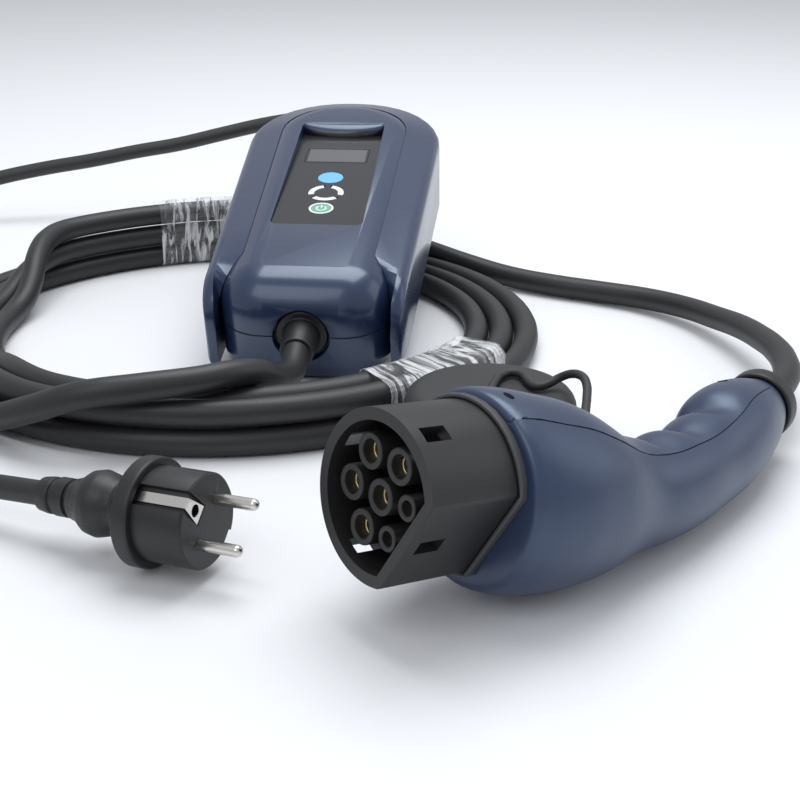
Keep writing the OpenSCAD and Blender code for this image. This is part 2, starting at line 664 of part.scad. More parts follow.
// Cords: a tube swept along the points of its route.
function tangent(route, i) =
    let (d = route[min(i + 1, len(route) - 1)] - route[max(i - 1, 0)]) d / norm(d);
function tube_ring(route, i, d, sides) =
    let (t = tangent(route, i), s = [-t.y, t.x, 0] / norm([t.x, t.y]), u = cross(t, s))
    [for (k = [0:sides - 1]) let (a = 360 * k / sides) route[i] + d / 2 * (cos(a) * s + sin(a) * u)];
module cord_tube(route, d, sides = 10) {
    placed() loft([for (i = [0:len(route) - 1]) tube_ring(route, i, d, sides)]);
}
mains_route = [[-29.03, 919.1, 79.8], [-26.4, 949, 85], [-30, 981, 84], [-45, 1007, 80], [-72, 1022, 75],
    [-104, 1028, 69], [-136, 1027, 62], [-168, 1024, 55], [-200, 1021, 50], [-234, 1017, 44],
    [-268, 1013, 39], [-302, 1006, 33], [-334, 994, 26], [-360, 974, 18], [-378, 947, 11],
    [-388, 916, 7], [-391, 883, 5.5], [-389, 850, 5.5], [-383, 817, 5.5], [-375, 785, 5.5],
    [-365, 753, 5.5], [-354, 721, 5.5], [-342, 690, 5.5], [-329, 660, 5.5], [-314, 631, 5.5],
    [-296, 603, 5.5], [-275, 578, 6], [-251, 555, 7], [-225, 536, 9], [-198, 519, 13], [-171, 505, 17],
    [-143.7, 491.8, 19.5]];
lead_route = [[-52.92, 646.1, 24.04], [-54.6, 626.9, 20.1], [-60, 611, 23.5], [-67, 600, 30.5],
    [-77, 588.5, 34.5], [-93, 578, 35.2], [-118, 569, 35.2], [-145, 566, 32.5], [-170, 574, 22.5], [-194, 588, 12.5], [-217, 607, 7.4],
    [-229.8, 620.8, 7], [-240.5, 636.4, 7]];
tail_route = [[23.4, 873, 14], [45, 854, 10], [70, 835, 7.5], [98, 817, 7], [125, 803, 7], [150, 786, 8],
    [169, 763, 10], [181, 735, 13], [188.5, 707, 17], [192.5, 680, 20], [193.8, 655, 22.5], [192.3, 632, 23.6],
    [187.6, 612, 24], [179.8, 596.8, 23.9], [171, 584.1, 23.8]];
strap_route = [[39.8, 556.2, 36.3], [41, 564, 36.3], [43.5, 574, 36.3], [47, 582, 36.3], [52.5, 585.5, 36.3],
    [56.5, 582, 36.3], [58.5, 574, 36.3], [62, 567.5, 36.4], [67, 569, 37], [72.5, 570.5, 39.5], [77.5, 566, 43],
    [81, 560, 44], [82, 552, 43], [81, 543, 41], [78.5, 528, 38], [77, 512, 32.5], [76.2, 497.5, 26.8]];
module mains_cord() { color("black") cord_tube(mains_route, mains_d); }
module ev_cord_lead() { color("black") cord_tube(lead_route, ev_d); }
module ev_cord_tail() { color("black") cord_tube(tail_route, ev_d); }
module cap_strap() { color("black") cord_tube(strap_route, strap_d, 8); }

// The coil: flat at the left and right, two high in front, three high at the far side.
coil_r = 165;
coil_out = coil_r + ev_d / 2;
stack_h = 42.7;
lead_angle = 214;
// A stretch of the coil between two angles, lengthened at both ends so that stretches join.
module sector(from, to, join = 1) {
    at_coil() rotate(from - join) rotate_extrude(angle = to - from + 2 * join) children();
}
// A section from one radius to another, between two heights.
module band_square(inner, outer, low, high) { translate([inner, low]) square([outer - inner, high - low]); }
// Stretches are set in a little from the outer turn, each by its own amount, so that none share a face.
coil_in = coil_out - ev_d;
inset = 0.3;
module ev_cord_coil() {
    color("black") union() {
        at_coil() rotate_extrude() band_square(coil_in, coil_out, 0, ev_d);
        sector(-25, 50) band_square(coil_in - 2 * ev_d, coil_out - inset, inset, ev_d * 1.5);
        sector(50, 84) band_square(coil_in + inset, coil_out - 2 * inset, 1, 2 * ev_d);
        sector(84, 150) band_square(coil_in + 2 * inset, coil_out - inset, 1, stack_h);
        sector(50, lead_angle, 0) band_square(coil_out - 1, coil_out + ev_d, 2 * inset, ev_d - inset);
        sector(150, lead_angle) band_square(coil_in - 2 * ev_d, coil_out - inset, inset, ev_d - 2 * inset);
        sector(lead_angle, 335) union() {
            band_square(coil_in - ev_d - 2, coil_out - 2 * inset, 3 * inset, 24);
            band_square(coil_in + inset, coil_out - 2 * inset, 3 * inset, 2 * ev_d);
        }
    }
}
// Clear film over the coil, open below.
module tie(from, to, inner, outer, h) {
    color("white") sector(from, to, 0) difference() {
        translate([inner - tie_t - gap, gap]) square([outer - inner + 2 * tie_t + 2 * gap, h + tie_t]);
        translate([inner - gap, -1]) square([outer - inner + 2 * gap, h + 1 + gap]);
    }
}
module coil_tie_left() { tie(97, 115, coil_in, coil_out + ev_d, stack_h); }
module coil_tie_right() { tie(301, 328, coil_in - ev_d - 2, coil_out, 2 * ev_d); }

box_base();
box_cover();
box_seal();
side_band();
display_overlay();
lcd_window();
lcd_module();
blue_lens();
green_lens();
ring_lenses();
circuit_board();
relays();
current_sensor();
transformer();
capacitors();
terminal_block();
board_screws();
front_gland();
front_gland_nut();
rear_gland();
rear_gland_nut();
nose_shroud();
contact_carrier();
contact_l1();
contact_l2();
contact_l3();
contact_n();
contact_pe();
contact_cp();
contact_pp();
nose_seal();
handle_upper();
handle_lower();
cord_clamp();
tail_gland();
tail_nut();
cap();
cap_strap();
plug_body();
plug_pins();
earth_clips();
mains_cord();
ev_cord_lead();
ev_cord_coil();
ev_cord_tail();
coil_tie_left();
coil_tie_right();
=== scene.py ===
# %% [markdown]
# # A portable charger for electric cars
# The solids come in as a fixed frame: a control box on a coil of cord, a connector with its cap, and a
# mains plug. This lesson gives them their finish. Hard pieces keep the frame's shape and get soft moulded
# edges, cords are drawn as curves of their real length, and every surface gets a material made of nodes.

# %% Load the frame
import bpy
import bmesh
import math
from mathutils import Matrix, Vector, noise


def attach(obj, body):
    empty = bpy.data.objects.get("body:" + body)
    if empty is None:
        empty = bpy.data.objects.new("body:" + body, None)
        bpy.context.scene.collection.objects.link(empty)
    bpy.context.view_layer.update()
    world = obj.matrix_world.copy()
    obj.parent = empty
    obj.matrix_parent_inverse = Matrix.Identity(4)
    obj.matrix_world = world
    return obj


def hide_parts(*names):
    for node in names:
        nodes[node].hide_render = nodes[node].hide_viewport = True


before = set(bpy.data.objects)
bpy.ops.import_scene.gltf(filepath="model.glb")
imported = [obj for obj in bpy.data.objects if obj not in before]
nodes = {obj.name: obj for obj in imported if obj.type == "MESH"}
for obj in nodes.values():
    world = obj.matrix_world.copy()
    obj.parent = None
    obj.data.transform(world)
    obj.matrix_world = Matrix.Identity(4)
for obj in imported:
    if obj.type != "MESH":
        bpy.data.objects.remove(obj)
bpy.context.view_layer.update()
MM = 0.001

# %% [markdown]
# ## The camera
# The photograph was taken from the front, looking down by 22 degrees with a long lens. The ground point under
# that camera is known in the layout's own measure, where the frame's origin lies at GROUND. A camera needs
# only its place, its turn and the length of its lens, so it is set from those three.

# %% Camera
GROUND = Vector((37.989, 657.486, 0)) * MM
EYE_HEIGHT = 259 * MM
LOOK_DOWN = math.radians(22)
IMAGE_PIXELS = 800
FOCAL_PIXELS = 1350

camera = bpy.data.objects.new("camera", bpy.data.cameras.new("camera"))
bpy.context.collection.objects.link(camera)
camera.data.sensor_width = 36
camera.data.lens = camera.data.sensor_width * FOCAL_PIXELS / IMAGE_PIXELS
camera.location = Vector((0, 0, EYE_HEIGHT)) - GROUND
camera.rotation_euler = (math.pi / 2 - LOOK_DOWN, 0, 0)
camera.data.clip_start = 0.01
bpy.context.scene.camera = camera
print("camera: lens", round(camera.data.lens, 2), "mm")

# %% [markdown]
# ## Floor and light
# The set is white: a pale floor that fades into a pale backdrop, lit by large soft boxes. The long bright
# band on the front roll of the control box is the reflection of such a box above it. Area lights are used
# because their size sets how soft a shadow is, and a pale world fills what they leave dark.


# %% Floor, world and lights
LIGHT_COLOUR = (0.95, 0.978, 1.0)
WORLD_COLOUR, WORLD_STRENGTH = (0.93, 0.95, 1.0, 1), 0.6
FLOOR_COLOUR, FLOOR_ROUGHNESS, FLOOR_SHINE = (0.83, 0.835, 0.85, 1), 0.42, 0.25
FLOOR_HALF, FLOOR_DROP = 6, 0.0002


def new_material(name):
    """A node material with a plain Principled shader, and that shader."""
    material = bpy.data.materials.new(name)
    material.use_nodes = True
    return material, material.node_tree.nodes["Principled BSDF"]


def object_from(bm, name, material):
    """A finished mesh as an object with one material."""
    mesh = bpy.data.meshes.new(name)
    bm.to_mesh(mesh)
    bm.free()
    mesh.materials.append(material)
    piece = bpy.data.objects.new(name, mesh)
    bpy.context.collection.objects.link(piece)
    return piece


def soft_box(name, place, aim, size, power):
    """A square area light that faces the point aim."""
    light = bpy.data.lights.new(name, "AREA")
    light.size = size
    light.energy = power
    light.color = LIGHT_COLOUR
    lamp = bpy.data.objects.new(name, light)
    bpy.context.collection.objects.link(lamp)
    lamp.location = place
    lamp.rotation_euler = (Vector(aim) - Vector(place)).to_track_quat("-Z", "Y").to_euler()


floor_paint, floor_shader = new_material("floor_paint")
floor_shader.inputs["Base Color"].default_value = FLOOR_COLOUR
floor_shader.inputs["Roughness"].default_value = FLOOR_ROUGHNESS
floor_shader.inputs["Specular IOR Level"].default_value = FLOOR_SHINE
floor_bm = bmesh.new()
bmesh.ops.create_grid(floor_bm, x_segments=1, y_segments=1, size=FLOOR_HALF)
floor = object_from(floor_bm, "floor", floor_paint)
floor.location.z = -FLOOR_DROP

world = bpy.data.worlds.new("studio")
bpy.context.scene.world = world
world.use_nodes = True
world.node_tree.nodes["Background"].inputs["Color"].default_value = WORLD_COLOUR
world.node_tree.nodes["Background"].inputs["Strength"].default_value = WORLD_STRENGTH
bpy.context.scene.view_settings.view_transform = "Standard"
soft_box("top_box", (0.1, 0.42, 1.5), (-0.02, 0.1, 0), 1.15, 19.5)
soft_box("front_box", (-0.55, -0.9, 1.1), (0, 0, 0.05), 0.8, 3.6)
soft_box("right_box", (1.3, 0.1, 0.7), (0.05, 0, 0.05), 0.9, 2.2)

# %% [markdown]
# ## Effects that several finishes share
# Moulded plastic is never perfectly even. The mould's fine spark grain breaks up its gloss, and over a hand's
# width the sheen drifts a little. Both are wanted on the box, the nose, the cap and the cords, so they
# are one node group with its own inputs, built once and placed in each material with its own values.


# %% Node group: moulded grain
def group_with(name, inputs, outputs):
    """A shader node group with named sockets, given as (name, type, default) and (name, type)."""
    group = bpy.data.node_groups.new(name, "ShaderNodeTree")
    for label, kind, value in inputs:
        group.interface.new_socket(label, in_out="INPUT", socket_type=kind).default_value = value
    for label, kind in outputs:
        group.interface.new_socket(label, in_out="OUTPUT", socket_type=kind)
    return group, group.nodes.new("NodeGroupInput"), group.nodes.new("NodeGroupOutput")


FLOAT, COLOUR = "NodeSocketFloat", "NodeSocketColor"
grain, grain_in, grain_out = group_with(
    "moulded_grain",
    [("Colour", COLOUR, (0.5, 0.5, 0.5, 1)), ("Roughness", FLOAT, 0.4), ("Spread", FLOAT, 0.1),
     ("Grain Scale", FLOAT, 900.0), ("Drift", FLOAT, 0.12)],
    [("Colour", COLOUR), ("Roughness", FLOAT), ("Height", FLOAT)])


def add(group, kind, **settings):
    """A node of that kind in a tree, with properties set by name."""
    node = group.nodes.new(kind)
    for key, value in settings.items():
        setattr(node, key, value)
    return node


grain_coords = add(grain, "ShaderNodeTexCoord")
fine = add(grain, "ShaderNodeTexNoise")
fine.inputs["Detail"].default_value = 3
drift = add(grain, "ShaderNodeTexNoise")
drift.inputs["Scale"].default_value = 22
drift.inputs["Detail"].default_value = 2
link = grain.links.new
link(grain_coords.outputs["Object"], fine.inputs["Vector"])
link(grain_coords.outputs["Object"], drift.inputs["Vector"])
link(grain_in.outputs["Grain Scale"], fine.inputs["Scale"])
centred = add(grain, "ShaderNodeMath", operation="SUBTRACT")
centred.inputs[1].default_value = 0.5
link(drift.outputs["Fac"], centred.inputs[0])
both = add(grain, "ShaderNodeMath", operation="MULTIPLY_ADD")
link(fine.outputs["Fac"], both.inputs[0])
both.inputs[1].default_value = 0.5
link(centred.outputs[0], both.inputs[2])
rough = add(grain, "ShaderNodeMath", operation="MULTIPLY_ADD", use_clamp=True)
link(both.outputs[0], rough.inputs[0])
link(grain_in.outputs["Spread"], rough.inputs[1])
link(grain_in.outputs["Roughness"], rough.inputs[2])
link(rough.outputs[0], grain_out.inputs["Roughness"])
shade = add(grain, "ShaderNodeMath", operation="MULTIPLY_ADD")
link(centred.outputs[0], shade.inputs[0])
link(grain_in.outputs["Drift"], shade.inputs[1])
shade.inputs[2].default_value = 1
tint = add(grain, "ShaderNodeVectorMath", operation="SCALE")
link(grain_in.outputs["Colour"], tint.inputs[0])
link(shade.outputs[0], tint.inputs["Scale"])
link(tint.outputs[0], grain_out.inputs["Colour"])
link(fine.outputs["Fac"], grain_out.inputs["Height"])
print("group:", grain.name, "with", len(grain.nodes), "nodes")

# %% [markdown]
# ## Finishes
# A finish on this charger is a colour, a gloss and a depth of grain. One function builds the material from
# those, so the list of finishes below reads like a designer's colour plan. The navy of the handle is satin
# with a fine grain and bluish reflections, the box is glossier, the nose is a duller black, the cords have a
# soft rubber sheen, and the panel is glossy film.


# %% A moulded finish
DRIFT = 0.12
COAT_ROUGHNESS = 0.12
NAVY_SHINE = (0.70, 0.84, 1.0)


def moulded(name, colour, roughness, spread, grain_scale, depth, metal=0.0, coat=0.0, shine=0.5,
            shine_colour=(1, 1, 1)):
    """A material whose colour, gloss and relief come through the shared grain."""
    material, shader = new_material(name)
    tree = material.node_tree
    surface = tree.nodes.new("ShaderNodeGroup")
    surface.node_tree = grain
    surface.inputs["Colour"].default_value = (*colour, 1)
    surface.inputs["Roughness"].default_value = roughness
    surface.inputs["Spread"].default_value = spread
    surface.inputs["Grain Scale"].default_value = grain_scale
    surface.inputs["Drift"].default_value = DRIFT
    relief = tree.nodes.new("ShaderNodeBump")
    relief.inputs["Strength"].default_value = 1.0
    relief.inputs["Distance"].default_value = depth
    tree.links.new(surface.outputs["Height"], relief.inputs["Height"])
    tree.links.new(surface.outputs["Colour"], shader.inputs["Base Color"])
    tree.links.new(surface.outputs["Roughness"], shader.inputs["Roughness"])
    tree.links.new(relief.outputs["Normal"], shader.inputs["Normal"])
    shader.inputs["Metallic"].default_value = metal
    shader.inputs["Specular IOR Level"].default_value = shine
    shader.inputs["Specular Tint"].default_value = (*shine_colour, 1)
    shader.inputs["Coat Weight"].default_value = coat
    shader.inputs["Coat Roughness"].default_value = COAT_ROUGHNESS
    return material


navy = moulded("navy_satin", (0.018, 0.029, 0.072), 0.34, 0.10, 1300, 0.00002, shine=0.95,
               shine_colour=NAVY_SHINE)
navy_gloss = moulded("navy_gloss", (0.014, 0.025, 0.068), 0.27, 0.08, 1300, 0.00001, coat=0.35, shine=0.75,
                     shine_colour=NAVY_SHINE)
nose_black = moulded("nose_black", (0.016, 0.0155, 0.016), 0.42, 0.12, 1100, 0.00003)
fitting_black = moulded("fitting_black", (0.012, 0.012, 0.013), 0.40, 0.10, 1000, 0.00003)
seal_grey = moulded("seal_grey", (0.06, 0.062, 0.066), 0.55, 0.10, 1500, 0.00002)
cap_rubber = moulded("cap_rubber", (0.022, 0.022, 0.0225), 0.52, 0.12, 1600, 0.00004)
cord_rubber = moulded("cord_rubber", (0.017, 0.017, 0.018), 0.44, 0.14, 700, 0.00003)
panel_film = moulded("panel_film", (0.010, 0.011, 0.013), 0.22, 0.06, 600, 0.000004, coat=0.3)
brass = moulded("contact_brass", (0.90, 0.76, 0.44), 0.36, 0.12, 1800, 0.00001, metal=1.0)
nickel = moulded("plug_nickel", (0.68, 0.66, 0.62), 0.20, 0.12, 1500, 0.00001, metal=1.0)
steel = moulded("screw_steel", (0.52, 0.53, 0.55), 0.30, 0.12, 1500, 0.00001, metal=1.0)
copper = moulded("winding_copper", (0.55, 0.27, 0.12), 0.35, 0.10, 1200, 0.00003, metal=1.0)
board_green = moulded("board_green", (0.02, 0.12, 0.06), 0.35, 0.10, 500, 0.00002)
part_blue = moulded("component_blue", (0.03, 0.07, 0.2), 0.40, 0.10, 900, 0.00002)
part_black = moulded("component_black", (0.02, 0.02, 0.022), 0.45, 0.10, 900, 0.00002)
display_grey = moulded("display_grey", (0.11, 0.112, 0.12), 0.30, 0.05, 500, 0.000003)
blue_glow = moulded("blue_light", (0.16, 0.50, 0.88), 0.30, 0.05, 500, 0.000003)
green_glow = moulded("green_light", (0.16, 0.42, 0.28), 0.30, 0.05, 500, 0.000003)
white_glow = moulded("white_light", (0.85, 0.86, 0.88), 0.32, 0.05, 500, 0.000003)
print("finishes:", len(bpy.data.materials))

# %% [markdown]
# ## Hard pieces
# A solid comes in as loose flat triangles with knife edges. Real mouldings have small radii that catch the
# light. A copy is welded, its flat triangles are joined again, and a Bevel modifier rounds the edges that are
# really sharp. The swept handle has a regular net of faces, so a Subdivision Surface smooths it instead. The
# nose also has long edges, which get a larger radius before that.


# %% Softened copies of solids
WELD, ROUND_WELD = 0.00001, 0.00002
JOIN_ANGLE, JOIN_SHAPE = math.radians(40), math.radians(60)
FLAT_ANGLE, CREASE_ANGLE = math.radians(0.6), math.radians(50)
LONG_EDGE, LONG_ANGLE = 0.02, math.radians(20)
SMOOTH_ANGLE = math.radians(35)


def soft_copy(node, name, material, width, levels=0, long_radius=0):
    """A welded copy of a solid with rounded edges, which stands for that solid."""
    bm = bmesh.new()
    bm.from_mesh(nodes[node].data)
    bmesh.ops.remove_doubles(bm, verts=bm.verts, dist=WELD)
    if levels:
        bmesh.ops.join_triangles(bm, faces=bm.faces, angle_face_threshold=JOIN_ANGLE,
                                 angle_shape_threshold=JOIN_SHAPE)
        crease = bm.edges.layers.float.new("crease_edge")
        for edge in bm.edges:
            edge[crease] = 1.0 if edge.calc_face_angle(0) > CREASE_ANGLE else 0.0
    else:
        bmesh.ops.dissolve_limit(bm, angle_limit=FLAT_ANGLE, verts=bm.verts, edges=bm.edges,
                                 delimit={"NORMAL"})
    if long_radius:
        corners = [e for e in bm.edges
                   if e.calc_length() > LONG_EDGE and e.calc_face_angle_signed(0) > LONG_ANGLE]
        bmesh.ops.bevel(bm, geom=corners, offset=long_radius, segments=6, profile=0.5, affect="EDGES",
                        clamp_overlap=True)
        bmesh.ops.remove_doubles(bm, verts=bm.verts, dist=ROUND_WELD)
    for face in bm.faces:
        face.smooth = True
    piece = object_from(bm, name, material)
    piece.data.set_sharp_from_angle(angle=SMOOTH_ANGLE)
    if levels:
        subdivision = piece.modifiers.new("smooth", "SUBSURF")
        subdivision.levels = subdivision.render_levels = levels
    if width:
        bevel = piece.modifiers.new("soft_edges", "BEVEL")
        bevel.width = width
        bevel.segments = 2
        bevel.limit_method = "ANGLE"
        bevel.angle_limit = SMOOTH_ANGLE
        bevel.harden_normals = True
    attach(piece, "root")
    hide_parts(node)
    return piece


box_pieces = [
    soft_copy("box_base", "lower_shell", navy_gloss, 0.0006),
    soft_copy("box_cover", "upper_shell", navy_gloss, 0.0003),
    soft_copy("side_band", "side_rail", navy_gloss, 0.0007),
    soft_copy("display_overlay", "panel_sheet", panel_film, 0.0002),
    soft_copy("lcd_window", "display_pane", display_grey, 0.0002),
    soft_copy("blue_lens", "blue_button", blue_glow, 0.0003),
    soft_copy("green_lens", "green_button", green_glow, 0.0003),
    soft_copy("ring_lenses", "ring_of_lights", white_glow, 0.0003),
    soft_copy("front_gland", "cord_gland", fitting_black, 0.0008),
    soft_copy("rear_gland", "lead_gland", fitting_black, 0.0008),
]
print("control box:", [p.name for p in box_pieces])

# %% Connector, cap and plug
connector_pieces = [
    soft_copy("nose_shroud", "nose", nose_black, 0.0011, long_radius=0.004),
    soft_copy("contact_carrier", "contact_tubes", nose_black, 0.0007),
    soft_copy("nose_seal", "rim_seal", seal_grey, 0.0008),
    soft_copy("handle_upper", "grip_upper", navy, 0, levels=2),
    soft_copy("handle_lower", "grip_lower", navy, 0, levels=2),
    soft_copy("tail_nut", "grip_nut", fitting_black, 0.0008),
    soft_copy("cap", "dust_cap", cap_rubber, 0.0010),
    soft_copy("plug_body", "mains_plug", fitting_black, 0.0006),
    soft_copy("plug_pins", "mains_pins", nickel, 0.0003),
    soft_copy("earth_clips", "earth_springs", nickel, 0.0002),
]
for pole in ("l1", "l2", "l3", "n", "pe", "cp", "pp"):
    connector_pieces.append(soft_copy(f"contact_{pole}", f"sleeve_{pole}", brass, 0.0003))
print("connector, cap and plug:", len(connector_pieces), "pieces")

# %% [markdown]
# ## Inside the housings
# The board and its parts can't be seen, but they are there and whoever opens the model finds them. They keep
# the frame's own solids, which only need a finish.

# %% Finishes of the inner solids
inner_finishes = {
    "circuit_board": board_green, "lcd_module": board_green, "relays": part_blue,
    "current_sensor": part_black, "capacitors": part_black, "terminal_block": board_green,
    "transformer": copper, "board_screws": steel, "box_seal": cord_rubber,
    "front_gland_nut": fitting_black, "rear_gland_nut": fitting_black, "cord_clamp": part_black,
    "tail_gland": fitting_black,
}
for node_name, finish in inner_finishes.items():
    solid = nodes[node_name].data
    solid.materials.clear()
    solid.materials.append(finish)
print("inner solids:", len(inner_finishes))

# %% [markdown]
# ## Cords
# A cord has a fixed length, so its shape is its route. The free stretches are listed points, the same as in the
# solids. The coil's turns follow a rule: the cord runs clockwise round a centre, and at each angle it has a
# radius and lies on the floor or on the turns below it. Blender draws a cord best as a curve with a round
# bevel, because the curve's line is then the cord's own length.


# %% Routes and the coil's turns
def at(x, y, z):
    """A point of the layout, in millimetres, in the frame's metres."""
    return Vector((x, y, z)) * MM - GROUND


EV_D = 13.5
MAINS_D = 10.4
STRAP_D = 4
LAY = EV_D + 0.6
COIL_X, COIL_Y = -93, 737
COIL_R = 165
LEAD_ANGLE = 214
TAIL_ANGLE = 50
STEP = 5
HELD_TURN = 2
EASE_ROUNDS = 3

lead_route = [(-52.92, 646.1, 24.04), (-54.6, 626.9, 20.1), (-60, 611, 23.5), (-67, 600, 30.5),
              (-77, 588.5, 34.5), (-93, 578, 35.2), (-118, 569, 35.2), (-145, 566, 32.5), (-170, 574, 22.5),
              (-194, 588, 12.5), (-217, 607, 7.4), (-229.8, 620.8, 7)]
tail_route = [(45, 854, 10), (70, 835, 7.5), (98, 817, 7), (125, 803, 7), (150, 786, 8), (169, 763, 10),
              (181, 735, 13), (188.5, 707, 17), (192.5, 680, 20), (193.8, 655, 22.5), (192.3, 632, 23.6),
              (187.6, 612, 24), (179.8, 596.8, 23.9), (171, 584.1, 23.8)]


def between(stations, angle):
    """The value at an angle, eased between stations given as (angle, value) with falling angles."""
    for (a0, v0), (a1, v1) in zip(stations, stations[1:]):
        if a0 >= angle >= a1:
            t = (a0 - angle) / (a0 - a1)
            return v0 + (v1 - v0) * (3 * t * t - 2 * t * t * t)
    return stations[-1][1]


# Radius of each turn, from the far side round by the right, the front and the left to the far side again.
in_strand = [(LEAD_ANGLE, COIL_R + LAY), (90, COIL_R + LAY), (TAIL_ANGLE, COIL_R)]
turn_radius = [
    [(TAIL_ANGLE, COIL_R), (90 - 360, COIL_R), (TAIL_ANGLE - 360, COIL_R - LAY)],
    [(TAIL_ANGLE, COIL_R - LAY), (-25, COIL_R - LAY), (-60, COIL_R - 1), (-118, COIL_R - 1),
     (-152, COIL_R - LAY), (-195, COIL_R - LAY), (-225, COIL_R), (90 - 360, COIL_R),
     (TAIL_ANGLE - 360, COIL_R - 2 * LAY)],
    [(TAIL_ANGLE, COIL_R - 2 * LAY), (-25, COIL_R - 2 * LAY), (-60, COIL_R - 1 - LAY),
     (-118, COIL_R - 1 - LAY), (-152, COIL_R - 2 * LAY), (-195, COIL_R - 2 * LAY), (-225, COIL_R),
     (90 - 360, COIL_R), (TAIL_ANGLE - 360, COIL_R + LAY)],
]
# The front wrap holds the third turn up beside the second.
held_height = [(TAIL_ANGLE, 0), (-20, 0), (-48, 20), (-100, 20), (-140, 0), (TAIL_ANGLE - 360, 0)]


def resting_height(radius, under):
    """Height of a cord's middle at that radius, on the floor or on strands given as (radius, height)."""
    height = EV_D / 2
    for r, z in under:
        if abs(radius - r) < LAY:
            height = max(height, z + math.sqrt(LAY ** 2 - (radius - r) ** 2))
    return height


def coil_points():
    """The coil's stations in order as (angle, radius, height), angles falling."""
    laid = {}
    line = []
    for angle in range(LEAD_ANGLE, TAIL_ANGLE, -STEP):
        radius = between(in_strand, angle)
        laid.setdefault(angle % 360, []).append((radius, EV_D / 2))
        line.append([angle, radius, EV_D / 2])
    for turn, stations in enumerate(turn_radius):
        for angle in range(TAIL_ANGLE - 1, TAIL_ANGLE - 361, -STEP):
            radius = between(stations, angle)
            key = angle % 360
            height = resting_height(radius, laid.get(key, []))
            if turn == HELD_TURN:
                height = max(height, between(held_height, angle))
            laid.setdefault(key, []).append((radius, height))
            line.append([angle, radius, height])
    return line


def eased(line):
    """Heights with their steps rounded off along the cord."""
    heights = [p[2] for p in line]
    for _ in range(EASE_ROUNDS):
        heights = [max(h, (heights[max(i - 1, 0)] + 2 * h + heights[min(i + 1, len(heights) - 1)]) / 4)
                   for i, h in enumerate(heights)]
    return [(a, r, h) for (a, r, _), h in zip(line, heights)]


coil_line = [(COIL_X + r * math.cos(math.radians(a)), COIL_Y + r * math.sin(math.radians(a)), z)
             for a, r, z in eased(coil_points())]
print("coil:", len(coil_line), "points")


# %% Draw the cords
KNOT_STEPS, BEVEL_STEPS = 5, 6


def draw_cord(name, route, diameter, material):
    """A round cord through the points of a route."""
    line = bpy.data.curves.new(name, "CURVE")
    line.dimensions = "3D"
    line.resolution_u = KNOT_STEPS
    line.bevel_depth = diameter / 2 * MM
    line.bevel_resolution = BEVEL_STEPS
    line.use_fill_caps = True
    spline = line.splines.new("BEZIER")
    spline.bezier_points.add(len(route) - 1)
    for knot, point in zip(spline.bezier_points, route):
        knot.co = at(*point)
        knot.handle_left_type = knot.handle_right_type = "AUTO"
    line.materials.append(material)
    cord = bpy.data.objects.new(name, line)
    bpy.context.collection.objects.link(cord)
    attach(cord, "root")
    return cord, spline.calc_length()


ev_route = lead_route + coil_line + tail_route
ev_cord, ev_length = draw_cord("charging_cord", ev_route, EV_D, cord_rubber)
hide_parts("ev_cord_lead", "ev_cord_coil", "ev_cord_tail")
print("charging cord:", round(ev_length, 3), "m")

mains_route = [(-29.03, 919.1, 79.8), (-26.4, 949, 85), (-30, 981, 84), (-45, 1007, 80), (-72, 1022, 75),
               (-104, 1028, 69), (-136, 1027, 62), (-168, 1024, 55), (-200, 1021, 50), (-234, 1017, 44),
               (-268, 1013, 39), (-302, 1006, 33), (-334, 994, 26), (-360, 974, 18), (-378, 947, 11),
               (-388, 916, 7), (-391, 883, 5.5), (-389, 850, 5.5), (-383, 817, 5.5), (-375, 785, 5.5),
               (-365, 753, 5.5), (-354, 721, 5.5), (-342, 690, 5.5), (-329, 660, 5.5), (-314, 631, 5.5),
               (-296, 603, 5.5), (-275, 578, 6), (-251, 555, 7), (-225, 536, 9), (-198, 519, 13),
               (-171, 505, 17), (-143.7, 491.8, 19.5)]
mains_lead, mains_length = draw_cord("mains_lead", mains_route, MAINS_D, cord_rubber)
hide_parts("mains_cord")
print("mains lead:", round(mains_length, 3), "m")

strap_route = [(39.8, 556.2, 36.3), (41, 564, 36.3), (43.5, 574, 36.3), (47, 582, 36.3), (52.5, 585.5, 36.3),
               (56.5, 582, 36.3), (58.5, 574, 36.3), (62, 567.5, 36.4), (67, 569, 37), (72.5, 570.5, 39.5),
               (77.5, 566, 43), (81, 560, 44), (82, 552, 43), (81, 543, 41), (78.5, 528, 38), (77, 512, 32.5),
               (76.2, 497.5, 26.8)]
strap, strap_length = draw_cord("cap_tether", strap_route, STRAP_D, cap_rubber)
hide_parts("cap_strap")
print("cap tether:", round(strap_length, 3), "m")

# %% [markdown]
# ## Film wraps
# Two bands of thin clear film hold the coil together. Film that was pulled tight by hand lies in hundreds of
# small creases that flash white in the light, and most of them run across the strands. Each wrap is a sleeve
# round the bundle, made by spinning an outline round the coil's centre and creasing it with noise. The white
# flashes are painted highlights: a noise makes the clear film opaque white in streaks, and the same noise
# bumps it. Its UV map measures centimetres along the strands and across them, so that the painted streaks
# can be drawn out along one of the two.

# %% Clear film
FILM_CORNER, FILM_LIFT, FILM_STEPS, FILM_THICKNESS = 6, 0.4, 40, 0.00012
FOLD_COARSE, FOLD_FINE, FINE_SHARE = 0.23, 0.61, 0.6
FOLD_PUSH, FOLD_RISE = 0.55, 0.4

